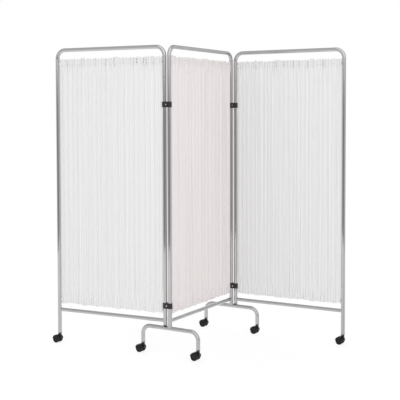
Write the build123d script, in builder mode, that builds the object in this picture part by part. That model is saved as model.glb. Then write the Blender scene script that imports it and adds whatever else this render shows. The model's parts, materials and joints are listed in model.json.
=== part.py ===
"""A three-leaf privacy screen: chrome tube leaves, gathered curtains, hinge clips and twin-wheel casters.

The centre leaf stands on two arched feet and each side leaf on one caster and two hinge clips.
Frame: +Z up, +X along the centre leaf, origin on the floor under the middle of the centre leaf.
All lengths are in millimetres and all angles in degrees.
"""
import os
from math import cos, radians, sin, sqrt

from build123d import *

# Leaf frames
leaf_pitch = 668.0
top_bar_height = 1639.0
crossbar_height = 189.0
tube_radius = 11.0
tube_wall = 1.2
top_bend_radius = 48.0
crossbar_radius = 10.0

# Arched feet of the centre leaf
foot_bar_height = 148.0
foot_half_span = 173.5
foot_bend_radius = 46.0
leg_end_height = 58.0

# How the leaves stand to each other, turned from a straight line
left_fold = 84.0
right_fold = 88.0
clip_fold = 88.0

# Hinge clips
tube_gap = 7.0
clip_height = 30.0
clip_wall = 2.0
clip_fit = 0.05
clip_parting = 1.0
clip_edge_radius = 0.8
upper_clip_drop = 304.0
lower_clip_rise = 80.0

# Screw and nut of a hinge clip
screw_radius = 2.0
screw_clearance = 0.2
screw_head_radius = 4.2
screw_head_height = 2.4
screw_head_edge = 0.9
screw_seat_clearance = 0.3
screw_head_seat = 1.4
cross_slot_length = 4.8
cross_slot_width = 1.1
cross_slot_depth = 1.3
nut_flats = 7.0
nut_height = 3.2
nut_clearance = 0.2
nut_seat = 3.6
screw_tip_length = 0.8

# Plug in the open lower end of each side leaf's inner upright
plug_foot_gap = 2.5
plug_cap_height = 4.0
plug_cap_edge = 1.0
plug_spigot_length = 18.0
plug_fit = 0.1

# Curtain rods and the cups that hold them
rod_radius = 3.5
rod_fit = 0.05
upper_rod_drop = 77.0
lower_rod_rise = 58.0
cup_wall = 1.9
cup_length = 4.5
cup_root = 1.6
rod_tube_gap = 0.4

# Gathered curtains
upper_ruffle_height = 26.0
lower_ruffle_height = 19.0
curtain_side_gap = 6.0
curtain_thickness = 2.0
fold_count = 24
fold_depth = 13.5
fold_radius = 3.0
fold_width_shares = (1.0, 0.86, 1.1, 0.93, 1.12, 0.9, 1.04, 0.84)
fold_depth_shares = (1.0, 0.9, 0.97, 0.84, 1.0, 0.93, 0.86)
pocket_gap = 0.4
pocket_wall = 1.4

# Caster sockets and stems
socket_flange_height = 3.0
socket_flange_edge = 0.8
socket_length = 34.0
socket_fit = 0.1
stem_radius = 4.0
stem_fit = 0.06
stem_top_gap = 3.0
stem_tip_edge = 1.0
collar_radius = 7.0
collar_height = 1.6
collar_gap = 0.3

# Casters
wheel_radius = 20.0
wheel_width = 14.0
wheel_shoulder = 2.4
caster_trail = 16.0
web_half_width = 6.0
wheel_side_gap = 0.6
hood_clearance = 1.2
hood_wall = 2.6
hood_edge = 1.2
hood_skirt_height = 22.5
hub_disc_radius = 9.0
boss_radius = 8.6
stem_seat_depth = 15.0
axle_radius = 3.0
axle_fit = 0.05
axle_edge = 0.5
wheel_cap_wall = 2.2
rim_depth = 2.6
rim_inner_radius = 6.4
rim_outer_radius = 15.6

# Overrun of every cut past the piece that it cuts
overrun = 2.0

# Places and sizes that follow from the values above
tube_bore = tube_radius - tube_wall
crossbar_bore = crossbar_radius - tube_wall
hinge_pitch = 2 * tube_radius + tube_gap
foot_bar_top = foot_bar_height + tube_radius
plug_low = foot_bar_top + plug_foot_gap
inner_end_height = plug_low + plug_cap_height
clip_bore = tube_radius + clip_fit
clip_half_depth = clip_bore + clip_wall
upper_clip_height = top_bar_height - upper_clip_drop
lower_clip_height = crossbar_height + lower_clip_rise
upper_rod_height = top_bar_height - upper_rod_drop
lower_rod_height = crossbar_height + lower_rod_rise
curtain_high = upper_rod_height + upper_ruffle_height
curtain_low = lower_rod_height - lower_ruffle_height
cup_radius = rod_radius + rod_fit + cup_wall
curtain_side = tube_radius + curtain_side_gap
socket_low = leg_end_height - socket_flange_height
collar_top = socket_low - collar_gap
boss_high = collar_top - collar_height
wheel_inner_side = web_half_width + wheel_side_gap
wheel_outer_side = wheel_inner_side + wheel_width
axle_end = wheel_outer_side - wheel_cap_wall
hood_inner_radius = wheel_radius + hood_clearance
hood_outer_radius = hood_inner_radius + hood_wall
hood_half_width = wheel_outer_side - wheel_cap_wall / 2
boss_low = wheel_radius + sqrt(hood_inner_radius**2 - (caster_trail - boss_radius) ** 2)


def heading(degrees):
    """Level unit vector at an angle from +X towards +Y."""
    return Vector(cos(radians(degrees)), sin(radians(degrees)), 0)


def level_plane(point, direction):
    """Level plane at floor height with its own X along a heading."""
    return Plane(origin=(point.X, point.Y, 0), x_dir=direction, z_dir=(0, 0, 1))


def wall_plane(base):
    """Upright plane of a leaf: its own X runs outwards along the leaf and its own Y runs up."""
    return Plane(origin=base.origin, x_dir=base.x_dir, z_dir=base.x_dir.cross(base.z_dir))


def cross_plane(base, distance, height):
    """Plane square to a leaf's length, at a distance along the leaf and a height."""
    point = base.from_local_coords((distance, 0, height))
    return Plane(origin=point, x_dir=base.z_dir, z_dir=base.x_dir)


def finish(piece, name):
    """Label a finished piece and write it to its own file."""
    piece.label = name
    export_step(piece, f"parts/{name}.step")
    print(f"{name}: {len(piece.solids())} solid(s), {piece.volume:.0f} mm3")


# Bases of the three leaves: each base stands at a leaf's inner or left upright
left_outwards = heading(180 - left_fold)
right_outwards = heading(-right_fold)
left_clip_heading = heading(180 - clip_fold)
right_clip_heading = heading(-clip_fold)

centre_left_axis = Vector(-leaf_pitch / 2, 0, 0)
centre_right_axis = Vector(leaf_pitch / 2, 0, 0)
left_inner_axis = centre_left_axis + left_clip_heading * hinge_pitch
right_inner_axis = centre_right_axis + right_clip_heading * hinge_pitch

centre_base = level_plane(centre_left_axis, Vector(1, 0, 0))
left_base = level_plane(left_inner_axis, left_outwards)
right_base = level_plane(right_inner_axis, right_outwards)
left_clip_base = level_plane(centre_left_axis, left_clip_heading)
right_clip_base = level_plane(centre_right_axis, right_clip_heading)

left_outer_axis = left_inner_axis + left_outwards * leaf_pitch
right_outer_axis = right_inner_axis + right_outwards * leaf_pitch
foot_reach = Vector(0, foot_half_span, 0)

# Axes of the six legs that stand on casters: the left leaf, the four foot ends and the right leaf
leg_axes = (
    left_outer_axis,
    centre_left_axis + foot_reach,
    centre_left_axis - foot_reach,
    centre_right_axis + foot_reach,
    centre_right_axis - foot_reach,
    right_outer_axis,
)


def make_frame_tube(base, first_end, last_end, feet=()):
    """Inverted U of round tube; its ends are cut to saddle any foot bars that they stand on."""
    wall = wall_plane(base)
    with BuildPart() as frame:
        with BuildLine(wall) as route:
            FilletPolyline(
                (0, first_end),
                (0, top_bar_height),
                (leaf_pitch, top_bar_height),
                (leaf_pitch, last_end),
                radius=top_bend_radius,
            )
        with BuildSketch(base.offset(first_end)):
            Circle(tube_radius)
            Circle(tube_bore, mode=Mode.SUBTRACT)
        sweep(path=route.line)
        for foot_base in feet:
            with BuildSketch(cross_plane(foot_base, 0, foot_bar_height)):
                Circle(tube_radius)
            extrude(amount=2 * tube_radius, both=True, mode=Mode.SUBTRACT)
    return frame.part


def make_crossbar(base):
    """Straight tube between a leaf's uprights, saddled onto both."""
    with BuildPart() as bar:
        with BuildSketch(cross_plane(base, 0, crossbar_height)):
            Circle(crossbar_radius)
            Circle(crossbar_bore, mode=Mode.SUBTRACT)
        extrude(amount=leaf_pitch)
        with BuildSketch(base.offset(crossbar_height - crossbar_radius - overrun)):
            with Locations((0, 0), (leaf_pitch, 0)):
                Circle(tube_radius)
        extrude(amount=2 * (crossbar_radius + overrun), mode=Mode.SUBTRACT)
    return bar.part


def make_foot(foot_base):
    """Arched tube foot: a level bar under an upright, bent down into two legs."""
    wall = wall_plane(foot_base)
    with BuildPart() as foot:
        with BuildLine(wall) as route:
            FilletPolyline(
                (-foot_half_span, leg_end_height),
                (-foot_half_span, foot_bar_height),
                (foot_half_span, foot_bar_height),
                (foot_half_span, leg_end_height),
                radius=foot_bend_radius,
            )
        start = foot_base.from_local_coords((-foot_half_span, 0, leg_end_height))
        with BuildSketch(Plane(origin=start, z_dir=(0, 0, 1))):
            Circle(tube_radius)
            Circle(tube_bore, mode=Mode.SUBTRACT)
        sweep(path=route.line)
    return foot.part


def make_rods(base):
    """Upper and lower curtain rods of a leaf."""
    rod_start = tube_radius + rod_tube_gap
    with BuildPart() as rods:
        for height in (upper_rod_height, lower_rod_height):
            with BuildSketch(cross_plane(base, rod_start, height)):
                Circle(rod_radius)
            extrude(amount=leaf_pitch - 2 * rod_start)
    return rods.part


def make_rod_cups(base):
    """Cups that hold the rod ends, saddled onto the uprights."""
    with BuildPart() as cups:
        for height in (upper_rod_height, lower_rod_height):
            for distance, way in ((0, 1), (leaf_pitch, -1)):
                root = distance + way * (tube_radius - cup_root)
                with BuildSketch(cross_plane(base, root, height)):
                    Circle(cup_radius)
                    Circle(rod_radius + rod_fit, mode=Mode.SUBTRACT)
                extrude(amount=way * (cup_root + cup_length))
            with BuildSketch(base.offset(height - cup_radius - overrun)):
                with Locations((0, 0), (leaf_pitch, 0)):
                    Circle(tube_radius)
            extrude(amount=2 * (cup_radius + overrun), mode=Mode.SUBTRACT)
    return cups.part


def fold_points():
    """Corners of the zigzag that a gathered curtain follows, seen from above."""
    length = leaf_pitch - 2 * curtain_side
    flanks = 2 * fold_count
    widths = [fold_width_shares[i % len(fold_width_shares)] for i in range(flanks)]
    step = length / sum(widths)
    points = [Vector(curtain_side, 0)]
    travelled = curtain_side
    for i, width in enumerate(widths):
        side = 1 if i % 2 == 0 else -1
        depth = fold_depth * fold_depth_shares[i % len(fold_depth_shares)]
        points.append(Vector(travelled + width * step / 2, side * depth))
        travelled += width * step
    points.append(Vector(leaf_pitch - curtain_side, 0))
    return points


def beside(points, amount):
    """Corners of a zigzag moved sideways by an amount, so that its straight runs stay parallel."""
    runs = [(b - a).normalized() for a, b in zip(points, points[1:])]
    normals = [Vector(-run.Y, run.X) for run in runs]
    corners = [points[0] + normals[0] * amount]
    for point, first, last in zip(points[1:], normals, normals[1:]):
        corners.append(point + (first + last) * (amount / (1 + first.dot(last))))
    corners.append(points[-1] + normals[-1] * amount)
    return corners


def make_curtain(base):
    """Gathered cloth in even folds, with a sewn pocket round each rod."""
    points = fold_points()
    half = curtain_thickness / 2
    above = [fold_radius + half if i % 2 == 0 else fold_radius - half for i in range(len(points) - 2)]
    below = [2 * fold_radius - radius for radius in above]
    with BuildPart() as curtain:
        with BuildSketch(base.offset(curtain_low)):
            with BuildLine():
                upper = FilletPolyline(beside(points, half), radius=above)
                lower = FilletPolyline(beside(points, -half), radius=below)
                Line(upper @ 0, lower @ 0)
                Line(upper @ 1, lower @ 1)
            make_face()
        extrude(amount=curtain_high - curtain_low)
        bore = rod_radius + pocket_gap
        for height in (upper_rod_height, lower_rod_height):
            with BuildSketch(cross_plane(base, curtain_side, height)):
                Circle(bore + pocket_wall)
            extrude(amount=leaf_pitch - 2 * curtain_side)
        for height in (upper_rod_height, lower_rod_height):
            with BuildSketch(cross_plane(base, curtain_side - overrun, height)):
                Circle(bore)
            extrude(amount=leaf_pitch - 2 * (curtain_side - overrun), mode=Mode.SUBTRACT)
    return curtain.part


def make_end_plug(base):
    """Plug pushed into the open lower end of an inner upright."""
    with BuildPart() as plug:
        with BuildSketch(base.offset(plug_low)):
            Circle(tube_radius)
        extrude(amount=plug_cap_height)
        fillet(plug.edges().group_by(Axis.Z)[0], radius=plug_cap_edge)
        with BuildSketch(base.offset(inner_end_height)):
            Circle(tube_bore - plug_fit)
            Circle(tube_bore - plug_fit - tube_wall, mode=Mode.SUBTRACT)
        extrude(amount=plug_spigot_length)
    return plug.part


def face_plane(base, side, depth, height):
    """Plane on the flat side of a hinge clip, facing outwards, at a depth from the clip's middle."""
    point = base.from_local_coords((hinge_pitch / 2, side * depth, height))
    return Plane(origin=point, x_dir=base.x_dir, z_dir=base.y_dir * side)


def make_clip_halves(base, side, holds_head):
    """The same half of a leaf's upper and lower hinge clips, on one side of the uprights' axes."""
    middle = hinge_pitch / 2

    def on_outline(edge):
        spot = base.to_local_coords(edge @ 0.5)
        level = abs((edge @ 0).Z - (edge @ 1).Z) < clip_edge_radius
        outside = abs(spot.Y) > clip_parting
        clear = min(sqrt(spot.X**2 + spot.Y**2), sqrt((spot.X - hinge_pitch) ** 2 + spot.Y**2))
        return level and outside and clear > clip_half_depth - clip_wall / 2

    with BuildPart() as halves:
        for height in (upper_clip_height, lower_clip_height):
            with BuildSketch(base.offset(height - clip_height / 2)):
                with Locations((middle, 0)):
                    SlotCenterToCenter(hinge_pitch, 2 * clip_half_depth)
                with Locations((0, 0), (hinge_pitch, 0)):
                    Circle(clip_bore, mode=Mode.SUBTRACT)
                with Locations((middle, side * (clip_parting / 2 - clip_half_depth - overrun))):
                    Rectangle(
                        hinge_pitch + 2 * (clip_half_depth + overrun),
                        2 * (clip_half_depth + overrun),
                        mode=Mode.SUBTRACT,
                    )
            extrude(amount=clip_height)
        fillet(halves.edges().filter_by(on_outline), radius=clip_edge_radius)
        for height in (upper_clip_height, lower_clip_height):
            with BuildSketch(face_plane(base, side, clip_half_depth, height)):
                Circle(screw_radius + screw_clearance)
            extrude(amount=-clip_half_depth, mode=Mode.SUBTRACT)
            with BuildSketch(face_plane(base, side, clip_half_depth, height)):
                if holds_head:
                    Circle(screw_head_radius + screw_seat_clearance)
                else:
                    RegularPolygon(nut_flats / 2 + nut_clearance, 6, major_radius=False)
            extrude(amount=-(screw_head_seat if holds_head else nut_seat), mode=Mode.SUBTRACT)
    return halves.part


def make_clip_screws(base, side):
    """Pan-head screws with a cross slot, one through the web of each hinge clip."""
    seat = clip_half_depth - screw_head_seat
    nut_face = clip_half_depth - nut_seat
    with BuildPart() as screws:
        for height in (upper_clip_height, lower_clip_height):
            with BuildSketch(face_plane(base, side, seat, height)):
                Circle(screw_radius)
            extrude(amount=-(seat + nut_face + nut_height + screw_tip_length))
            with BuildSketch(face_plane(base, side, seat, height)):
                Circle(screw_head_radius)
            extrude(amount=screw_head_height)
        rims = screws.edges().filter_by(GeomType.CIRCLE)
        top = seat + screw_head_height
        outer = [e for e in rims if abs(base.to_local_coords(e.arc_center).Y * side - top) < screw_head_edge / 2]
        fillet(outer, radius=screw_head_edge)
        for height in (upper_clip_height, lower_clip_height):
            with BuildSketch(face_plane(base, side, top, height)):
                Rectangle(cross_slot_length, cross_slot_width)
                Rectangle(cross_slot_width, cross_slot_length)
            extrude(amount=-cross_slot_depth, mode=Mode.SUBTRACT)
    return screws.part


def make_clip_nuts(base, side):
    """Hexagonal nuts sunk in the halves opposite the screw heads."""
    with BuildPart() as nuts:
        for height in (upper_clip_height, lower_clip_height):
            with BuildSketch(face_plane(base, side, clip_half_depth - nut_seat, height)):
                RegularPolygon(nut_flats / 2, 6, major_radius=False)
                Circle(screw_radius, mode=Mode.SUBTRACT)
            extrude(amount=nut_height)
    return nuts.part


def make_sockets(axes):
    """Plastic sockets in the lower ends of the legs, bored for the caster stems."""
    with BuildPart() as sockets:
        for axis in axes:
            with BuildSketch(Plane(origin=(axis.X, axis.Y, socket_low))):
                Circle(tube_radius)
            extrude(amount=socket_flange_height)
        fillet(sockets.edges().group_by(Axis.Z)[0], radius=socket_flange_edge)
        for axis in axes:
            with BuildSketch(Plane(origin=(axis.X, axis.Y, leg_end_height))):
                Circle(tube_bore - socket_fit)
            extrude(amount=socket_length)
        for axis in axes:
            with BuildSketch(Plane(origin=(axis.X, axis.Y, socket_low - overrun))):
                Circle(stem_radius + stem_fit)
            extrude(amount=socket_flange_height + socket_length + 2 * overrun, mode=Mode.SUBTRACT)
    return sockets.part


def axle_plane(axis, distance=0.0):
    """Upright plane square to a caster's axle, centred on it; its own X runs back along the trail."""
    point = (axis.X + distance, axis.Y + caster_trail, wheel_radius)
    return Plane(origin=point, x_dir=(0, 1, 0), z_dir=(1, 0, 0))


def make_housing(axis):
    """Caster body: a web between the wheels, a hood over them and a boss for the stem."""
    with BuildPart() as housing:
        with BuildSketch(axle_plane(axis)):
            Circle(hood_outer_radius)
            with Locations((0, hood_skirt_height - wheel_radius - hood_outer_radius)):
                Rectangle(2 * (hood_outer_radius + overrun), 2 * hood_outer_radius, mode=Mode.SUBTRACT)
        extrude(amount=hood_half_width, both=True)
        sides = housing.edges().filter_by(GeomType.CIRCLE)
        fillet(sides, radius=hood_edge)
        for way in (1, -1):
            with BuildSketch(axle_plane(axis, way * web_half_width)):
                Circle(hood_inner_radius)
            extrude(amount=way * (hood_half_width + overrun), mode=Mode.SUBTRACT)
        with BuildSketch(axle_plane(axis)):
            Circle(hub_disc_radius)
            with Locations((-caster_trail, (boss_low + hood_skirt_height) / 2 - wheel_radius)):
                Rectangle(2 * boss_radius, boss_low - hood_skirt_height)
        extrude(amount=web_half_width, both=True)
        with BuildSketch(Plane(origin=(axis.X, axis.Y, boss_low))):
            Circle(boss_radius)
        extrude(amount=boss_high - boss_low)
        with BuildSketch(Plane(origin=(axis.X, axis.Y, boss_high))):
            Circle(stem_radius)
        extrude(amount=-stem_seat_depth, mode=Mode.SUBTRACT)
        with BuildSketch(axle_plane(axis)):
            Circle(axle_radius)
        extrude(amount=web_half_width + overrun, both=True, mode=Mode.SUBTRACT)
    return housing.part


def make_stem(axis):
    """Caster stem with the collar that the leg's socket stands on."""
    stem_low = boss_high - stem_seat_depth
    stem_high = leg_end_height + socket_length - stem_top_gap
    with BuildPart() as stem:
        with BuildSketch(Plane(origin=(axis.X, axis.Y, stem_low))):
            Circle(stem_radius)
        extrude(amount=stem_high - stem_low)
        chamfer(stem.edges().group_by(Axis.Z)[-1], length=stem_tip_edge)
        with BuildSketch(Plane(origin=(axis.X, axis.Y, boss_high))):
            Circle(collar_radius)
        extrude(amount=collar_height)
    return stem.part


def make_axle(axis):
    """Axle pin through the caster's web and both wheels."""
    with BuildPart() as axle:
        with BuildSketch(axle_plane(axis)):
            Circle(axle_radius)
        extrude(amount=axle_end, both=True)
        chamfer(axle.edges().filter_by(GeomType.CIRCLE), length=axle_edge)
    return axle.part


def make_wheel(axis, way):
    """One wheel of a pair, with rounded shoulders, a sunk ring and a blind bore for the axle."""
    with BuildPart() as wheel:
        with BuildSketch(axle_plane(axis, way * wheel_inner_side)):
            Circle(wheel_radius)
        extrude(amount=way * wheel_width)
        fillet(wheel.edges().filter_by(GeomType.CIRCLE), radius=wheel_shoulder)
        with BuildSketch(axle_plane(axis, way * wheel_outer_side)):
            Circle(rim_outer_radius)
            Circle(rim_inner_radius, mode=Mode.SUBTRACT)
        extrude(amount=-way * rim_depth, mode=Mode.SUBTRACT)
        with BuildSketch(axle_plane(axis, way * wheel_inner_side)):
            Circle(axle_radius + axle_fit)
        extrude(amount=way * (axle_end + collar_gap - wheel_inner_side), mode=Mode.SUBTRACT)
    return wheel.part


os.makedirs("parts", exist_ok=True)

# Centre leaf and its feet
centre_feet = [level_plane(axis, Vector(0, 1, 0)) for axis in (centre_left_axis, centre_right_axis)]
finish(make_frame_tube(centre_base, foot_bar_height, foot_bar_height, centre_feet), "centre_frame_tube")
for foot_name, foot_base in zip(("left_foot", "right_foot"), centre_feet):
    finish(make_foot(foot_base), foot_name)
finish(make_sockets(leg_axes[1:5]), "centre_caster_sockets")

# Side leaves: the inner upright ends in a plug and the outer one stands on a caster
for leaf_name, leaf_base, outer_axis in (
    ("left", left_base, left_outer_axis),
    ("right", right_base, right_outer_axis),
):
    finish(make_frame_tube(leaf_base, inner_end_height, leg_end_height), f"{leaf_name}_frame_tube")
    finish(make_end_plug(leaf_base), f"{leaf_name}_end_plug")
    finish(make_sockets([outer_axis]), f"{leaf_name}_caster_socket")

# What all three leaves have alike
for leaf_name, leaf_base in (("centre", centre_base), ("left", left_base), ("right", right_base)):
    finish(make_crossbar(leaf_base), f"{leaf_name}_crossbar")
    finish(make_rods(leaf_base), f"{leaf_name}_curtain_rods")
    finish(make_rod_cups(leaf_base), f"{leaf_name}_rod_cups")
    finish(make_curtain(leaf_base), f"{leaf_name}_curtain")

# Hinge clips: the screw heads of both pairs face the same way
for clip_name, clip_base, head_side in (("left", left_clip_base, 1), ("right", right_clip_base, -1)):
    finish(make_clip_halves(clip_base, head_side, True), f"{clip_name}_clip_fronts")
    finish(make_clip_halves(clip_base, -head_side, False), f"{clip_name}_clip_backs")
    finish(make_clip_screws(clip_base, head_side), f"{clip_name}_clip_screws")
    finish(make_clip_nuts(clip_base, -head_side), f"{clip_name}_clip_nuts")

# Six casters, all trailing the same way
for number, leg_axis in enumerate(leg_axes, start=1):
    finish(make_housing(leg_axis), f"caster_{number}_housing")
    finish(make_stem(leg_axis), f"caster_{number}_stem")
    finish(make_axle(leg_axis), f"caster_{number}_axle")
    finish(make_wheel(leg_axis, 1), f"caster_{number}_wheel_a")
    finish(make_wheel(leg_axis, -1), f"caster_{number}_wheel_b")
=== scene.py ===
"""Looks of a folding ward screen: chrome tube, gathered white curtains, black clips and casters.

Lengths are in metres, in the frame's own axes: +Z up and +X along the centre leaf. The named angles below are
in degrees.
"""
import json
from math import pi, radians, sin, sqrt, tau

import bpy
import numpy as np
from mathutils import Matrix, Vector


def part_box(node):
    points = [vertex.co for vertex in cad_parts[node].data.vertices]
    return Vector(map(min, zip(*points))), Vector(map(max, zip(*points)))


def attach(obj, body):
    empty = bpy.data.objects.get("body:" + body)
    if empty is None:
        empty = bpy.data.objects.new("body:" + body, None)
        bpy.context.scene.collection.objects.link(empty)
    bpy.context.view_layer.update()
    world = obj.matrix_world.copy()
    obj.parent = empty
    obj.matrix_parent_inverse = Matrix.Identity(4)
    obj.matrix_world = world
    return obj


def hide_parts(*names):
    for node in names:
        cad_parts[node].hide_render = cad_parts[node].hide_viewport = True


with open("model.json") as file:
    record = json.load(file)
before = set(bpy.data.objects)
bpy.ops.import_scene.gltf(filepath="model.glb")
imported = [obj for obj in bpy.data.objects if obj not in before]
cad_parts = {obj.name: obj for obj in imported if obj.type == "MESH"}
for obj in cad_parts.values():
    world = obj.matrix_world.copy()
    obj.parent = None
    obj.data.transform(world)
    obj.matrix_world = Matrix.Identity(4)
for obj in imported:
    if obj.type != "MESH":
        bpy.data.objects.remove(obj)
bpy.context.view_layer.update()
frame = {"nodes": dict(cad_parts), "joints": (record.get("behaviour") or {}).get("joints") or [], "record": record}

# Camera, at the photograph's place. It looks less far down than the screen's middle lies, and the shift makes
# up for it
camera_place = (-4.2791, -2.5584, 1.2809)
camera_heading = 31.006
camera_pitch_down = 2.5
camera_roll = -0.131
camera_lens_mm = 80.51
camera_sensor_mm = 36.0
camera_shift_up = -0.1157

# Each curtain is one cloth, in rows across it and columns down it
cloth_width = 0.83
cloth_thickness = 0.0005
hem_thickness = 0.0011
side_hem_width = 0.012
cloth_columns = 760
body_rows = 34
crowded_row_share = 0.55
even_row_share = 0.45
layer_gap = 0.0007
cloth_seeds = {"left": 11, "centre": 23, "right": 37}
# The centre curtain's cloth is a pinker, dimmer copy of the white one: painted shade and tinted light on the
# centre leaf
curtain_cloths = {"left": "white_cloth", "centre": "white_cloth_painted_pink_shade", "right": "white_cloth"}

# Wide folds down the cloth, which are weaker on the rods
fold_counts = {"left": 21, "centre": 17, "right": 24}
fold_height = 0.0027
fold_unevenness = 0.5
fold_drift = 0.0028
fold_bulge_share = 0.3
rod_fold_share = 0.15

# Finer pleats on the folds
pleat_counts = {"left": 60, "centre": 36, "right": 84}
pleat_height = 0.0020
pleat_unevenness = 0.34
pleat_drift = fold_drift / 4
pleat_valley_power = 0.8
rod_pleat_share = 0.2

# Tight gathers on the rods, which fade away from them
gather_counts = {"left": 38, "centre": 26, "right": 38}
gather_height = 0.0046
gather_unevenness = 0.5
gather_bulge_share = 0.7
gather_fade = 0.05
gather_fall = 0.94
gather_height_rate = 4
gather_valley_power = 0.55

# How crests drift sideways and swell with height, by each wave's size and its rate in radians per metre
crest_drift_waves = ((1.0, 2.6), (0.6, 6.1))
crest_swell_waves = ((0.16, 3.4), (0.10, 8.3))

# Each row's swing is stretched so that the row is as long as the cloth is wide
stretch_range = (0.3, 2.2)
stretch_rounds = 18

# The cloth's sides, beside the uprights and the clips
edge_calm = 0.014
edge_swing_share = 0.1
cloth_side_gap = 0.0015
clip_clearance = 0.0014
clip_half_height = 0.015
drawn_in_reach = (0.05, 0.11)

# The pocket round each rod, between its seams; the seam next to the ruffle draws the cloth in
seam_distance = 0.0095
seam_cinch = 0.5
seam_cinch_reach = 0.0025
front_lean = 0.0024
pocket_row_distances = (-0.0070, -0.0045, -0.0022, 0.0, 0.0022, 0.0045, 0.0070)
pocket_hem_distance = 0.013
pocket_round = 0.001
pocket_clearance = 0.0009
full_hold_distance = 0.005
cup_room = 0.004
far_from_rod = 1.0

# The ruffle past each pocket; its edge has waves, by size and rate in radians per metre, and small tips
ruffle_rows = 7
ruffle_edge_round = 0.0006
ruffle_flare = 0.0042
ruffle_waves = {"lower": 0.0038, "upper": 0.0020}
ruffle_edge_waves = ((0.5, 31), (0.5, 57), (0.5, 92), (0.5, 143))
tip_height = 0.0042
tip_unevenness = 0.6
tip_lean = 0.22

# Painted shade in the tight creases near the rods, drawn into the cloth's colour as a darker tone
crease_shade_tone = 0.5
crease_shares = {"lower": 0.3, "upper": 1.0}
crease_fades = (0.006, 0.022)
crease_variety = 0.6
crease_start = 0.1
crease_steepness = 1.2
crease_pitch = 0.015
crease_skew = 4.5
ruffle_crease_loss = 0.5
dapple_mean = 0.65
dapple_swing = 0.6
pocket_shade = 0.12

# Weld beads; each wave of their size is its share, its rate in radians per step and its phase
bead_radius = 0.0011
bead_steps = 40
bead_sides = 8
bead_waves = ((0.12, 7, 0), (0.08, 3.1, 1))

# Chrome has haze, finer marks, and dust that is full at the first height and gone at the second
haze_scale = 14.0
haze_range = (0.35, 0.75)
haze_share = 0.25
chrome_roughness = (0.05, 0.11)
mark_scale = 55.0
mark_roughness = 0.015
mark_depth = 0.00012
dust_share = 0.5
dust_heights = (0.06, 0.42)
chrome_dull_tone = 0.7

# Zinc-plated steel has clouds and a fine grain
cloud_scale = 160.0
cloud_range = (0.3, 0.7)
cloud_roughness = (-0.06, 0.08)
cloud_tone = 0.82
steel_grain_scale = 2600.0
steel_grain_depth = 0.00003

# Black plastic has scuffs, which are paler and rougher, on top of its grain
scuff_scale = 90.0
scuff_range = (0.52, 0.8)
scuff_lift = 0.02
scuff_roughness = 0.16
scuff_roughness_range = (0.3, 0.75)

# Cloth has a weave, slubs in its threads and faint streaks; the scales are across and along the flat cloth
thread_pitch = 0.0006
weave_depth = 0.00008
slub_scale = (1400, 30, 1)
slub_height = 1.4
streak_scale = (160, 1.2, 1)
streak_range = (0.42, 0.68)
streak_tone = 0.975

# Studio: a round floor, even light from all round and two large lamps
floor_radius = 4.1
floor_sides = 64
floor_drop = 0.0004
floor_colour = 0.86
floor_glow_share = 0.82
floor_glow = 1.02
even_light = 0.84
lamp_place = (5.15, 4.4, 2.4)
lamp_target = (-0.05, 0.05, 0.85)
lamp_size = 5.0
lamp_power = 126

# What chrome sees round the studio at eye level, by the angle to the right of the way back to the camera
room_tones = (
    (-180, 1.0), (-120, 0.9), (-95, 0.62), (-60, 0.42), (-28, 0.28), (12, 0.29),
    (28, 0.6), (75, 0.68), (125, 0.45), (150, 0.8), (180, 1.0),
)

# What chrome sees above and below eye level. A tone changes between the two sines of height of its edge, and
# the upper tones have patches
upper_wall_tone = 0.74
upper_wall_edge = (0.012, 0.07)
upper_patch_scale = 2.3
upper_patch_range = (0.35, 0.65)
upper_patch_tones = (0.85, 1.15)
ceiling_tone = 0.58
ceiling_edge = (0.22, 0.42)
far_floor_tone = 0.85
far_floor_edge = (-0.22, -0.13)

# The backdrop and the softbox in chrome, which end between two cosines. The softbox's way is given by its
# shares towards the camera, to the camera's right and up
backdrop_edge = (-0.95, -0.75)
softbox_tone = 1.15
softbox_edge = (0.70, 0.78)
softbox_shares = (0.985, 0.174, 1)

# The round floor in chrome, by how far it lies towards the camera and to the camera's right
far_side_floor_tone = 1.0
near_side_floor_tone = 0.88
near_side_reach = (0.2, 0.9)
right_floor_share = 0.78
right_side_reach = (0.2, 0.9)


def joint_point(name):
    """Where a joint's axis stands, seen from above."""
    joint = next(j for j in frame["joints"] if j["name"] == name)
    return Vector((*joint["pos_m"][:2], 0))


heading = radians(camera_heading)
way_back = Vector((-np.cos(heading), -np.sin(heading), 0))
way_right = Vector((np.sin(heading), -np.cos(heading), 0))
softbox_level = softbox_shares[0] * way_back + softbox_shares[1] * way_right
softbox_way = (softbox_level + Vector((0, 0, softbox_shares[2]))).normalized()

# Each leaf runs from one upright's axis to the other's, and each side leaf starts at its clips
leaf_lines = {
    "centre": (joint_point("left_clip_turn"), joint_point("right_clip_turn")),
    "left": (joint_point("left_leaf_turn"), joint_point("caster_1_swivel")),
    "right": (joint_point("right_leaf_turn"), joint_point("caster_6_swivel")),
}
tube_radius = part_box("centre_frame_tube")[1].y
crossbar_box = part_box("centre_crossbar")
crossbar_radius = (crossbar_box[1].z - crossbar_box[0].z) / 2
crossbar_height = (crossbar_box[1].z + crossbar_box[0].z) / 2
foot_bar_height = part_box("left_foot")[1].z - tube_radius
rod_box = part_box("centre_curtain_rods")
rod_radius = rod_box[1].y
lower_rod_height = rod_box[0].z + rod_radius
upper_rod_height = rod_box[1].z - rod_radius
curtain_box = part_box("centre_curtain")
clip_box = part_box("left_clip_fronts")
clip_heights = (clip_box[0].z + clip_half_height, clip_box[1].z - clip_half_height)
clip_reach = max(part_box(name)[1].x for name in ("left_clip_fronts", "left_clip_backs"))
clip_radius = clip_reach - leaf_lines["centre"][0].x
cup_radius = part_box("centre_rod_cups")[1].y


# Node helpers; where an argument may be a number, a colour or a socket, feed takes it
def feed(tree, socket, value):
    """Set a socket to a number or a colour, or link another socket to it."""
    if isinstance(value, bpy.types.NodeSocket):
        tree.links.new(value, socket)
    elif isinstance(value, tuple):
        socket.default_value = (*value, 1)
    else:
        socket.default_value = value


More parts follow.
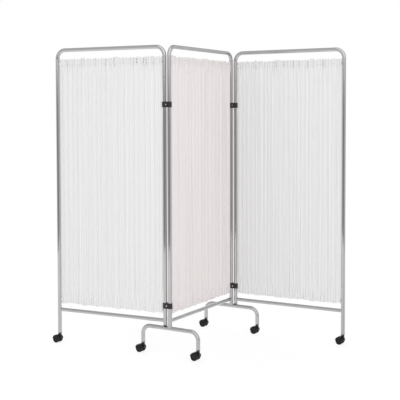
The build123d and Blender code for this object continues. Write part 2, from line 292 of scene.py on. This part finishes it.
def new_material(name):
    """An empty node material with its Principled shader."""
    material = bpy.data.materials.new(name)
    material.use_nodes = True
    tree = material.node_tree
    return material, tree, tree.nodes["Principled BSDF"]


def add_node(tree, kind, **values):
    """A node with its properties and input values set by name."""
    node = tree.nodes.new(kind)
    for key, value in values.items():
        if hasattr(node, key):
            setattr(node, key, value)
        else:
            node.inputs[key.replace("_", " ")].default_value = value
    return node


def math_node(tree, operation, *values):
    """A Math node's result from up to three numbers or sockets."""
    node = add_node(tree, "ShaderNodeMath", operation=operation)
    for socket, value in zip(node.inputs, values):
        feed(tree, socket, value)
    return node.outputs[0]


def noise_socket(tree, vector, scale, detail=3.0, roughness=0.5):
    """Factor of a noise texture over a coordinate socket."""
    node = add_node(tree, "ShaderNodeTexNoise", Scale=scale, Detail=detail, Roughness=roughness)
    feed(tree, node.inputs["Vector"], vector)
    return node.outputs[0]


def stretched(tree, vector, scale):
    """A coordinate socket scaled by axis."""
    node = add_node(tree, "ShaderNodeMapping", Scale=scale)
    feed(tree, node.inputs["Vector"], vector)
    return node.outputs["Vector"]


def mapped(tree, value, low, high, low_out, high_out):
    """A socket mapped from one range to another, held at its ends."""
    node = add_node(tree, "ShaderNodeMapRange", From_Min=low, From_Max=high, To_Min=low_out, To_Max=high_out)
    feed(tree, node.inputs["Value"], value)
    return node.outputs["Result"]


def colour_between(tree, factor, first, second):
    """A colour socket that goes from one colour to another; each is a colour or a socket."""
    node = add_node(tree, "ShaderNodeMix", data_type="RGBA")
    feed(tree, node.inputs["Factor"], factor)
    feed(tree, node.inputs[6], first)
    feed(tree, node.inputs[7], second)
    return node.outputs[2]


def along_vector(tree, direction, vector):
    """How far a place or direction, given by a socket, goes along a vector."""
    node = add_node(tree, "ShaderNodeVectorMath", operation="DOT_PRODUCT")
    node.inputs[1].default_value = vector
    feed(tree, node.inputs[0], direction)
    return node.outputs["Value"]


def blended(tree, factor, first, second):
    """first where factor is 0, second where it is 1; each is a number or a socket."""
    change = math_node(tree, "SUBTRACT", second, first)
    return math_node(tree, "MULTIPLY_ADD", factor, change, first)


def bump(tree, shader, height, distance, strength):
    """A bump from a height socket; distance is how deep a height of 1 is."""
    node = add_node(tree, "ShaderNodeBump", Strength=strength, Distance=distance)
    feed(tree, node.inputs["Height"], height)
    feed(tree, shader.inputs["Normal"], node.outputs["Normal"])


def object_coordinates(tree):
    """Places in the piece's own axes, which lie in the frame's at rest."""
    return tree.nodes.new("ShaderNodeTexCoord").outputs["Object"]


def dimmed(colour, tone):
    """A colour times a tone."""
    return tuple(channel * tone for channel in colour)


# Materials
def chrome_material(name, colour, dull=0.0):
    """Bright chrome plate, very slightly uneven, with handling haze and dulled by dust near the floor."""
    material, tree, shader = new_material(name)
    place = object_coordinates(tree)
    haze = noise_socket(tree, place, haze_scale, detail=5.0, roughness=0.6)
    marks = noise_socket(tree, place, mark_scale)
    smoothest, roughest = chrome_roughness
    rough = mapped(tree, haze, *haze_range, smoothest + dull, roughest + dull)
    rough = math_node(tree, "MULTIPLY_ADD", marks, mark_roughness, rough)
    feed(tree, shader.inputs["Roughness"], rough)
    height = along_vector(tree, place, (0, 0, 1))
    dust = mapped(tree, height, *dust_heights, dust_share, 0.0)
    worn = math_node(tree, "MULTIPLY_ADD", haze, haze_share, dust)
    tone = colour_between(tree, worn, colour, dimmed(colour, chrome_dull_tone))
    feed(tree, shader.inputs["Base Color"], tone)
    shader.inputs["Metallic"].default_value = 1.0
    bump(tree, shader, marks, mark_depth, strength=0.5)
    return material


def steel_material(name, colour, roughness):
    """Zinc-plated steel with a cloudy, slightly crystalline surface."""
    material, tree, shader = new_material(name)
    place = object_coordinates(tree)
    cloud = noise_socket(tree, place, cloud_scale, detail=4.0)
    grain = noise_socket(tree, place, steel_grain_scale, detail=2.0)
    smoother, rougher = cloud_roughness
    rough = mapped(tree, cloud, *cloud_range, roughness + smoother, roughness + rougher)
    feed(tree, shader.inputs["Roughness"], rough)
    feed(tree, shader.inputs["Base Color"], colour_between(tree, cloud, colour, dimmed(colour, cloud_tone)))
    shader.inputs["Metallic"].default_value = 1.0
    bump(tree, shader, grain, steel_grain_depth, strength=0.5)
    return material


def plastic_material(name, colour, roughness, grain_scale, grain_depth=0.00004, dust=0.0, shine=0.4):
    """Moulded black plastic with a fine texture, faint scuffs and a little dust."""
    material, tree, shader = new_material(name)
    place = object_coordinates(tree)
    scuffs = noise_socket(tree, place, scuff_scale, detail=6.0, roughness=0.7)
    grain = noise_socket(tree, place, grain_scale, detail=2.0)
    paler = tuple(channel + scuff_lift + dust for channel in colour)
    worn = mapped(tree, scuffs, *scuff_range, 0.0, 1.0)
    feed(tree, shader.inputs["Base Color"], colour_between(tree, worn, colour, paler))
    rough = mapped(tree, scuffs, *scuff_roughness_range, roughness, roughness + scuff_roughness)
    feed(tree, shader.inputs["Roughness"], rough)
    shader.inputs["Specular IOR Level"].default_value = shine
    bump(tree, shader, grain, grain_depth, strength=0.6)
    return material


def cloth_material(name, colour):
    """White woven cloth, drawn on the map of the flat cloth, with shade painted darker into its tight creases."""
    material, tree, shader = new_material(name)
    flat = add_node(tree, "ShaderNodeUVMap", uv_map="cloth").outputs["UV"]
    split = tree.nodes.new("ShaderNodeSeparateXYZ")
    feed(tree, split.inputs["Vector"], flat)
    warp, weft = (
        math_node(tree, "SINE", math_node(tree, "MULTIPLY", split.outputs[axis], tau / thread_pitch))
        for axis in ("X", "Y")
    )
    weave = math_node(tree, "MULTIPLY", warp, weft)
    slubs = noise_socket(tree, stretched(tree, flat, slub_scale), 1.0)
    streaks = noise_socket(tree, stretched(tree, flat, streak_scale), 1.0, detail=4.0, roughness=0.65)
    threads = math_node(tree, "MULTIPLY_ADD", slubs, slub_height, weave)
    bump(tree, shader, threads, weave_depth, strength=0.55)
    streaked = mapped(tree, streaks, *streak_range, 0.0, 1.0)
    plain = colour_between(tree, streaked, colour, dimmed(colour, streak_tone))
    # Painted shade: the colour darkens towards a grey where the points carry crease shade
    crease_shade = add_node(tree, "ShaderNodeAttribute", attribute_name="crease_shade").outputs["Fac"]
    crease_shaded = colour_between(tree, crease_shade, plain, dimmed(colour, crease_shade_tone))
    feed(tree, shader.inputs["Base Color"], crease_shaded)
    shader.inputs["Roughness"].default_value = 0.92
    shader.inputs["Specular IOR Level"].default_value = 0.18
    shader.inputs["Sheen Weight"].default_value = 0.12
    shader.inputs["Sheen Roughness"].default_value = 0.6
    return material


materials = {
    "chrome_tube": chrome_material("chrome_tube", (0.625, 0.62, 0.622)),
    "chrome_cup": chrome_material("chrome_cup", (0.60, 0.595, 0.597), dull=0.05),
    "steel_rod": steel_material("steel_rod", (0.62, 0.63, 0.64), roughness=0.3),
    "zinc_steel": steel_material("zinc_steel", (0.72, 0.73, 0.75), roughness=0.24),
    "black_clip": plastic_material("black_clip", (0.020, 0.016, 0.017), roughness=0.3, grain_scale=1900.0),
    "black_plug": plastic_material("black_plug", (0.014, 0.014, 0.015), roughness=0.5, grain_scale=1500.0),
    "black_housing": plastic_material(
        "black_housing", (0.010, 0.007, 0.008), roughness=0.34, grain_scale=1700.0, dust=0.004, shine=0.3
    ),
    "black_wheel": plastic_material(
        "black_wheel", (0.010, 0.009, 0.009), roughness=0.45, grain_scale=1400.0, grain_depth=0.00005,
        dust=0.01, shine=0.3,
    ),
    "white_cloth": cloth_material("white_cloth", (0.83, 0.83, 0.83)),
    # Pinker, dimmer copy of the white cloth, painting the shade and tinted light that the centre leaf gets
    "white_cloth_painted_pink_shade": cloth_material("white_cloth_painted_pink_shade", (0.815, 0.772, 0.771)),
}

# Every carried-over CAD node takes its slot's material
for row in frame["record"]["subparts"]:
    node = frame["nodes"][row["node"]]
    node.data.materials.clear()
    node.data.materials.append(materials[row["material_slot"]])


def add_piece(name, vertices, faces, material):
    """A smooth mesh object in the scene."""
    mesh = bpy.data.meshes.new(name)
    mesh.from_pydata(vertices, [], faces)
    mesh.polygons.foreach_set("use_smooth", [True] * len(mesh.polygons))
    mesh.materials.append(material)
    piece = bpy.data.objects.new(name, mesh)
    bpy.context.scene.collection.objects.link(piece)
    return piece


# Curtains
def smooth_step(value):
    """Goes from 0 to 1 with level ends as value does."""
    value = np.clip(value, 0.0, 1.0)
    return value * value * (3 - 2 * value)


def wave_sum(waves, phases, place, start=0.0):
    """Sum of sines at a place or height, added to start; each wave is its size and its rate."""
    return sum((size * np.sin(phase + place * rate) for (size, rate), phase in zip(waves, phases)), start)


def narrow_valleys(offset, side, power):
    """The same ripple with rounder crests on one side and narrower valleys between them."""
    outward = np.clip((1 + side * offset) / 2, 0.0, None)
    return side * (2 * outward**power - 1)


class Ripple:
    """Alternating crests along a line, uneven in width and height, that drift slowly with height."""

    def __init__(self, rng, count, length, unevenness, drift=0.0):
        widths = rng.uniform(1 - unevenness, 1 + unevenness, 2 * count)
        self.places = np.concatenate([[0.0], np.cumsum(widths)]) / widths.sum() * length
        signs = np.where(np.arange(2 * count + 1) % 2 == 0, 1.0, -1.0)
        self.heights = signs * rng.uniform(1 - unevenness, 1.0, 2 * count + 1)
        self.phases = rng.uniform(0, tau, (4, 2 * count + 1))
        self.drift = drift
        self.inner = np.sqrt(np.clip(np.sin(pi * self.places / length), 0.0, 1.0))

    def row(self, distances, height):
        """Offset of each point of a row, in crest heights, and its shift along the line, in metres."""
        waves = wave_sum(crest_drift_waves, self.phases[:2], height)
        places = self.places + self.drift * self.inner * waves
        heights = self.heights * wave_sum(crest_swell_waves, self.phases[2:], height, 1.0)
        index = np.interp(distances, places, np.arange(len(places)))
        first = np.minimum(index.astype(int), len(places) - 2)
        share = index - first
        widths = places[first + 1] - places[first]
        turn = (1 - np.cos(pi * share)) / 2
        offset = heights[first] * (1 - turn) + heights[first + 1] * turn
        return offset, widths * np.sin(tau * share) / tau


def end_rows(rod_height, edge_height, way):
    """Rows round one end of the curtain, from the pocket's hem behind, over the ruffle's edge, to the front.

    way is 1 at the upper end and -1 at the lower one. Each row is its height, its side (1 behind, 0 at the
    ruffle's edge and -1 in front) and its distance past the rod's axis.
    """
    edge = abs(edge_height - rod_height)
    ruffle = np.linspace(seam_distance, edge - ruffle_edge_round, ruffle_rows)
    doubled = [-seam_distance, *pocket_row_distances, *ruffle]
    behind = [(rod_height + way * distance, 1, distance) for distance in (-pocket_hem_distance, *doubled)]
    in_front = [(rod_height + way * distance, -1, distance) for distance in reversed(doubled)]
    return behind + [(rod_height + way * edge, 0, edge)] + in_front


def curtain_rows():
    """All rows of a curtain along the cloth, from the upper pocket's hem to the lower one's."""
    upper = end_rows(upper_rod_height, curtain_box[1].z, 1)
    lower = end_rows(lower_rod_height, curtain_box[0].z, -1)
    top, bottom = upper[-1][0], lower[-1][0]
    crowded = (1 - np.cos(np.linspace(0, pi, body_rows + 2)[1:-1])) / 2
    even = np.linspace(0, 1, body_rows + 2)[1:-1]
    shares = crowded_row_share * crowded + even_row_share * even
    body = [(top + (bottom - top) * share, -1, far_from_rod) for share in shares]
    return upper + body + lower[::-1]


def drawn_in(height):
    """How far a curtain's side draws in at a height, so that the clips can turn past it."""
    nearness = min(abs(height - clip_height) for clip_height in clip_heights)
    near, far = drawn_in_reach
    needed = clip_radius + clip_clearance - tube_radius - cloth_side_gap
    return needed * float(smooth_step((far - nearness) / (far - near)))


def fitting_stretch(along, swing):
    """How much a row's swing has to grow for the row to be as long as the cloth is wide."""
    low, high = stretch_range
    for _ in range(stretch_rounds):
        middle = (low + high) / 2
        if np.hypot(np.diff(along), np.diff(swing * middle)).sum() < cloth_width:
            low = middle
        else:
            high = middle
    return low


def held_off_rod(swing, side, rod_distance, stand):
    """A row's swing, held on its own side of the rod and the cups; stand is their radius, with some room."""
    hold = float(smooth_step((seam_distance - abs(rod_distance)) / (seam_distance - full_hold_distance)))
    over_rod = np.sqrt(np.clip(stand**2 - rod_distance**2, 0.0, None))
    outward = side * swing
    held = (outward + over_rod + np.sqrt((outward - over_rod) ** 2 + pocket_round**2)) / 2
    return swing + side * hold * (held - outward)


class GatheredCloth:
    """One curtain's cloth, with its random ripples and what changes along its width.

    Clips turn past its start, and where end_clipped is set, past its end too.
    """

    def __init__(self, rng, length, end_clipped, fold_count, pleat_count, gather_count):
        self.length = length
        self.end_clipped = end_clipped
        self.folds = Ripple(rng, fold_count, length, fold_unevenness, fold_drift)
        self.pleats = Ripple(rng, pleat_count, length, pleat_unevenness, pleat_drift)
        ends = ("lower", "upper")
        self.gathers = {end: Ripple(rng, gather_count, length, gather_unevenness) for end in ends}
        self.flares = Ripple(rng, gather_count // 2, length, gather_unevenness)
        self.tips = {end: Ripple(rng, gather_count, length, tip_unevenness) for end in ends}
        self.edge_phases = rng.uniform(0, tau, len(ruffle_edge_waves))
        self.shares = np.linspace(0, 1, cloth_columns)
        self.distances = self.shares * length
        distances_left = length - self.distances
        calm = smooth_step(self.distances / edge_calm) * smooth_step(distances_left / edge_calm)
        self.calm = edge_swing_share + (1 - edge_swing_share) * calm
        past_cup = (np.minimum(self.distances, distances_left) - cup_room) / cup_room
        cup_share = 1 - smooth_step(past_cup)
        self.stand = rod_radius + (cup_radius - rod_radius) * cup_share + pocket_clearance
        self.edge_wave = wave_sum(ruffle_edge_waves, self.edge_phases, self.distances)
        self.crease_wave = 0.5 + 0.5 * smooth_step(0.5 + crease_variety * self.edge_wave[::-1])
        shortest, longest = crease_fades
        fade_share = smooth_step(0.5 - crease_variety * self.edge_wave)
        self.crease_fade = shortest + (longest - shortest) * fade_share
        self.crease_phase, _ = self.flares.row(self.distances, 0.0)

    def along(self, height, shift):
        """Places of a row's points along the leaf, from the cloth's start."""
        start_inset = drawn_in(height)
        end_inset = start_inset if self.end_clipped else 0.0
        squeeze = 1 - (start_inset + end_inset) / self.length
        return start_inset + (self.distances + shift * self.calm) * squeeze

    def crease_shades(self, side, rod_distance, inwards, flare, gather, end):
        """How much painted shade each point of a row gets in the creases, from 0 to 1."""
        valley = smooth_step(-crease_start - crease_steepness * (side or -1) * gather)
        crease_shade = (pocket_shade + (1 - pocket_shade) * valley * self.crease_wave) * crease_shares[end]
        turn = tau * rod_distance / crease_pitch + crease_skew * self.crease_phase
        dapple = dapple_mean + dapple_swing * np.sin(turn)
        fade = smooth_step((seam_distance + self.crease_fade - inwards) / self.crease_fade)
        shade = fade * (1 - ruffle_crease_loss * flare) * dapple
        return np.clip(crease_shade * shade, 0.0, 1.0)

    def row(self, height, side, rod_distance):
        """Points of one row, along the leaf, out of its plane and up, and how much painted crease shade each gets.
        """
        inwards = min(upper_rod_height - height, height - lower_rod_height)
        end, way = ("upper", 1) if height > (upper_rod_height + lower_rod_height) / 2 else ("lower", -1)
        open_share = float(smooth_step((inwards - seam_distance) / gather_fade))
        flare = max(0.0, -inwards - seam_distance) / (curtain_box[1].z - upper_rod_height - seam_distance)
        fold, fold_shift = self.folds.row(self.distances, height)
        pleat, _ = self.pleats.row(self.distances, height)
        gather, gather_shift = self.gathers[end].row(self.distances, height * gather_height_rate)
        ruffle, _ = self.flares.row(self.distances, height)
        tip, _ = self.tips[end].row(self.distances, 0.0)
        if side:
            pleat = narrow_valleys(pleat, side, pleat_valley_power)
            gather = narrow_valleys(gather, side, gather_valley_power)

        gather_size = gather_height * (1 - gather_fall * open_share)
        fold_size = fold_height * (rod_fold_share + (1 - rod_fold_share) * open_share)
        pleat_size = pleat_height * (rod_pleat_share + (1 - rod_pleat_share) * open_share)
        swing = fold_size * fold + pleat_size * pleat + gather_size * gather + ruffle_flare * flare * ruffle
        swing = swing * self.calm
        shift = fold_bulge_share * open_share * fold_shift
        shift = shift + gather_bulge_share * (1 - open_share) * gather_shift
        along = self.along(height, shift)

        cinch = 1 - seam_cinch * float(np.exp(-((-inwards - seam_distance) / seam_cinch_reach) ** 2))
        swing = swing * fitting_stretch(along, swing) * cinch - front_lean * self.calm + side * layer_gap
        swing = held_off_rod(swing, side, rod_distance, self.stand)
        rise = flare * (ruffle_waves[end] * self.edge_wave + tip_height * tip - tip_lean * np.abs(swing))
        points = np.stack([along, swing, height + way * rise], axis=1)
        return points, self.crease_shades(side, rod_distance, inwards, flare, gather, end)


def curtain_grid(cloth):
    """Points, flat coordinates and painted crease shade of the gathered cloth by row and column, and the cloth's
    length.

    Every row is as long, along its folds, as the flat cloth is wide.
    """
    rows = curtain_rows()
    points = np.zeros((len(rows), cloth_columns, 3))
    crease_shades = np.zeros((len(rows), cloth_columns))
    for index, row in enumerate(rows):
        points[index], crease_shades[index] = cloth.row(*row)
    steps = np.linalg.norm(np.diff(points.mean(axis=1), axis=0), axis=1)
    lengths = np.concatenate([[0.0], np.cumsum(steps)])
    flat = np.zeros((len(rows), cloth_columns, 2))
    flat[..., 0] = cloth.shares * cloth_width
    flat[..., 1] = lengths[:, None]
    return points, flat, crease_shades, lengths[-1]


def make_curtain(leaf):
    """One leaf's gathered curtain, in place of its CAD solid."""
    start, end = leaf_lines[leaf]
    direction = (end - start).normalized()
    outwards = Vector((direction.y, -direction.x, 0))
    if leaf == "left":
        outwards = -outwards
    side_distance = tube_radius + cloth_side_gap
    length = (end - start).length - 2 * side_distance
    rng = np.random.default_rng(cloth_seeds[leaf])
    counts = (fold_counts[leaf], pleat_counts[leaf], gather_counts[leaf])
    cloth = GatheredCloth(rng, length, leaf == "centre", *counts)
    points, flat, crease_shades, cloth_length = curtain_grid(cloth)

    rows, columns = crease_shades.shape
    origin = np.array(start + direction * side_distance)
    local = points.reshape(-1, 3)
    places = origin + np.outer(local[:, 0], direction) - np.outer(local[:, 1], outwards)
    places[:, 2] = local[:, 2]
    index = np.arange(rows * columns).reshape(rows, columns)
    corners = [index[:-1, :-1], index[1:, :-1], index[1:, 1:], index[:-1, 1:]]
    faces = np.stack(corners, axis=-1).reshape(-1, 4)
    material = materials[curtain_cloths[leaf]]
    piece = add_piece(f"{leaf}_gathered_curtain", places.tolist(), faces.tolist(), material)

    corner_vertices = np.zeros(len(piece.data.loops), int)
    piece.data.loops.foreach_get("vertex_index", corner_vertices)
    cloth_map = piece.data.uv_layers.new(name="cloth")
    cloth_map.uv.foreach_set("vector", flat.reshape(-1, 2)[corner_vertices].astype(np.float32).ravel())
    # The painted crease shade goes on the points, for the cloth's material to darken by
    crease_shade = piece.data.attributes.new("crease_shade", "FLOAT", "POINT")
    crease_shade.data.foreach_set("value", crease_shades.astype(np.float32).ravel())

    # The side hems have the full thickness, and the group's weight makes the rest of the cloth thinner
    hem = piece.vertex_groups.new(name="hem")
    hem.add(list(range(rows * columns)), cloth_thickness / hem_thickness, "REPLACE")
    across = flat[..., 0].ravel()
    in_hem = np.flatnonzero((across < side_hem_width) | (across > cloth_width - side_hem_width))
    hem.add(in_hem.tolist(), 1.0, "REPLACE")
    thickness = piece.modifiers.new("thickness", "SOLIDIFY")
    thickness.thickness = hem_thickness
    thickness.offset = 0.0
    thickness.vertex_group = "hem"

    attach(piece, f"{leaf}_leaf")
    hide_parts(f"{leaf}_curtain")


for leaf in ("left", "centre", "right"):
    make_curtain(leaf)


# Weld beads round the crossbars' ends and under the centre uprights
def bead_mesh(loops):
    """Vertices and faces of closed round beads that follow loops of points."""
    vertices, faces = [], []
    for loop in loops:
        base = len(vertices)
        centre = sum(loop, Vector()) / len(loop)
        for i, point in enumerate(loop):
            ahead = (loop[(i + 1) % len(loop)] - loop[i - 1]).normalized()
            side = (point - centre).normalized()
            side = (side - ahead * side.dot(ahead)).normalized()
            up = ahead.cross(side)
            size = bead_radius * sum((share * sin(rate * i + phase) for share, rate, phase in bead_waves), 1)
            for k in range(bead_sides):
                angle = tau * k / bead_sides
                vertices.append(point + (side * np.cos(angle) + up * np.sin(angle)) * size)
        for i in range(len(loop)):
            here, ahead = base + i * bead_sides, base + (i + 1) % len(loop) * bead_sides
            for k in range(bead_sides):
                after = (k + 1) % bead_sides
                faces.append((here + k, ahead + k, ahead + after, here + after))
    return vertices, faces


def saddle_loop(centre, bar_way, square_way, tube_way, bar_radius):
    """The line where a round bar's end meets a tube, round their axes' meeting point.

    The bar and the tube run along bar_way and tube_way, and square_way is square to both.
    """
    loop = []
    for i in range(bead_steps):
        angle = tau * i / bead_steps
        aside = bar_radius * np.cos(angle)
        along = bar_radius * np.sin(angle)
        reach = sqrt(max(0.0, tube_radius**2 - aside**2))
        loop.append(centre + square_way * aside + tube_way * along + bar_way * reach)
    return loop


def make_weld_beads(leaf):
    """Beads of one leaf, as one piece."""
    start, end = leaf_lines[leaf]
    direction = (end - start).normalized()
    level = Vector((direction.y, -direction.x, 0))
    up = Vector((0, 0, 1))
    loops = []
    for upright, way in ((start, direction), (end, -direction)):
        centre = Vector((upright.x, upright.y, crossbar_height))
        loops.append(saddle_loop(centre, way, level, up, crossbar_radius))
        if leaf == "centre":
            foot = Vector((upright.x, upright.y, foot_bar_height))
            loops.append(saddle_loop(foot, up, direction, level, tube_radius))
    piece = add_piece(f"{leaf}_weld_beads", *bead_mesh(loops), materials["chrome_cup"])
    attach(piece, f"{leaf}_leaf")


for leaf in leaf_lines:
    make_weld_beads(leaf)


# Studio
def seen_directly(tree):
    """1 for rays from the camera, mirrors and glass, 0 for the rest."""
    path = tree.nodes.new("ShaderNodeLightPath")
    mirrored = math_node(tree, "MAXIMUM", path.outputs["Is Glossy Ray"], path.outputs["Is Transmission Ray"])
    return math_node(tree, "MAXIMUM", path.outputs["Is Camera Ray"], mirrored)


def make_floor():
    """Round white floor that mostly glows by itself, so that only a faint shadow shows.

    Chrome sees it in different tones by side, and the light that it throws back is that of a plain floor.
    """
    mesh = bpy.data.meshes.new("studio_floor")
    angles = [tau * i / floor_sides for i in range(floor_sides)]
    rim = [(floor_radius * np.cos(angle), floor_radius * np.sin(angle), -floor_drop) for angle in angles]
    mesh.from_pydata(rim, [], [tuple(range(floor_sides))])
    material, tree, shader = new_material("studio_floor")
    direct = seen_directly(tree)
    feed(tree, shader.inputs["Base Color"], mapped(tree, direct, 0, 1, floor_colour, 1.0))
    shader.inputs["Roughness"].default_value = 0.9
    shader.inputs["Specular IOR Level"].default_value = 0.0
    place = object_coordinates(tree)
    nearness = mapped(tree, along_vector(tree, place, way_back), *near_side_reach, 0, 1)
    seen_tone = blended(tree, nearness, far_side_floor_tone, near_side_floor_tone)
    rightness = along_vector(tree, place, way_right)
    right_share = mapped(tree, rightness, *right_side_reach, 1.0, right_floor_share)
    seen_tone = math_node(tree, "MULTIPLY", seen_tone, right_share)
    mirrored = tree.nodes.new("ShaderNodeLightPath").outputs["Is Glossy Ray"]
    glow = add_node(tree, "ShaderNodeEmission", Color=(1, 1, 1, 1))
    feed(tree, glow.inputs["Strength"], blended(tree, mirrored, floor_glow, seen_tone))
    mix = tree.nodes.new("ShaderNodeMixShader")
    feed(tree, mix.inputs[0], math_node(tree, "MULTIPLY", direct, floor_glow_share))
    feed(tree, mix.inputs[1], shader.outputs[0])
    feed(tree, mix.inputs[2], glow.outputs[0])
    feed(tree, tree.nodes["Material Output"].inputs["Surface"], mix.outputs[0])
    mesh.materials.append(material)
    floor = bpy.data.objects.new("studio_floor", mesh)
    bpy.context.scene.collection.objects.link(floor)


def make_world():
    """Even pale light. The camera sees plain white, and chrome sees a studio.

    The studio has a white backdrop behind the screen, walls of several tones, a dimmer ceiling with a softbox
    towards the camera, and a floor that goes on past the round one.
    """
    world = bpy.data.worlds.new("studio")
    bpy.context.scene.world = world
    world.use_nodes = True
    tree = world.node_tree
    background = tree.nodes["Background"]
    way = tree.nodes.new("ShaderNodeTexCoord").outputs["Generated"]
    back = along_vector(tree, way, way_back)
    right = along_vector(tree, way, way_right)
    rise = along_vector(tree, way, (0, 0, 1))
    turn = math_node(tree, "ARCTAN2", right, back)
    ramp = tree.nodes.new("ShaderNodeValToRGB")
    feed(tree, ramp.inputs["Fac"], mapped(tree, turn, -pi, pi, 0, 1))
    stops = ramp.color_ramp.elements
    while len(stops) < len(room_tones):
        stops.new(0.5)
    for stop, (angle, tone) in zip(stops, room_tones):
        stop.position = (angle + 180) / 360
        stop.color = (tone, tone, tone, 1)
    eye_level = ramp.outputs["Color"]
    upper = blended(tree, mapped(tree, rise, *ceiling_edge, 0, 1), upper_wall_tone, ceiling_tone)
    patches = noise_socket(tree, way, upper_patch_scale, detail=1.0)
    patch_tone = mapped(tree, patches, *upper_patch_range, *upper_patch_tones)
    upper = math_node(tree, "MULTIPLY", upper, patch_tone)
    upper = blended(tree, mapped(tree, back, *backdrop_edge, 1, 0), upper, 1.0)
    room = blended(tree, mapped(tree, rise, *upper_wall_edge, 0, 1), eye_level, upper)
    room = blended(tree, mapped(tree, rise, *far_floor_edge, 1, 0), room, far_floor_tone)
    softbox = mapped(tree, along_vector(tree, way, softbox_way), *softbox_edge, 0, 1)
    room = blended(tree, softbox, room, softbox_tone)
    path = tree.nodes.new("ShaderNodeLightPath")
    lit = math_node(tree, "MULTIPLY_ADD", path.outputs["Is Camera Ray"], 1.0 - even_light, even_light)
    feed(tree, background.inputs["Strength"], blended(tree, path.outputs["Is Glossy Ray"], lit, room))
    background.inputs["Color"].default_value = (1, 1, 1, 1)


def add_lamp(name, way):
    """Square soft lamp that looks at the screen, at lamp_place or, where way is -1, straight across from it.

    Chrome sees the studio, not the lamp.
    """
    place = Vector((way * lamp_place[0], way * lamp_place[1], lamp_place[2]))
    target = Vector((way * lamp_target[0], way * lamp_target[1], lamp_target[2]))
    light = bpy.data.lights.new(name, "AREA")
    light.shape = "SQUARE"
    light.size = lamp_size
    light.energy = lamp_power
    lamp = bpy.data.objects.new(name, light)
    lamp.location = place
    lamp.rotation_mode = "QUATERNION"
    lamp.rotation_quaternion = (target - place).to_track_quat("-Z", "Y")
    lamp.visible_glossy = False
    lamp.visible_camera = False
    bpy.context.scene.collection.objects.link(lamp)


def make_camera():
    """Camera at the photograph's place and angle."""
    data = bpy.data.cameras.new("camera")
    data.sensor_width = camera_sensor_mm
    data.lens = camera_lens_mm
    data.shift_y = camera_shift_up
    camera = bpy.data.objects.new("camera", data)
    turn = Matrix.Rotation(radians(camera_heading - 90), 4, "Z")
    tilt = Matrix.Rotation(radians(90 - camera_pitch_down), 4, "X")
    roll = Matrix.Rotation(radians(camera_roll), 4, "Z")
    camera.matrix_world = Matrix.Translation(camera_place) @ turn @ tilt @ roll
    bpy.context.scene.collection.objects.link(camera)
    bpy.context.scene.camera = camera


make_floor()
make_world()
add_lamp("front_lamp", -1)
add_lamp("back_lamp", 1)
make_camera()
bpy.context.scene.view_settings.view_transform = "Standard"
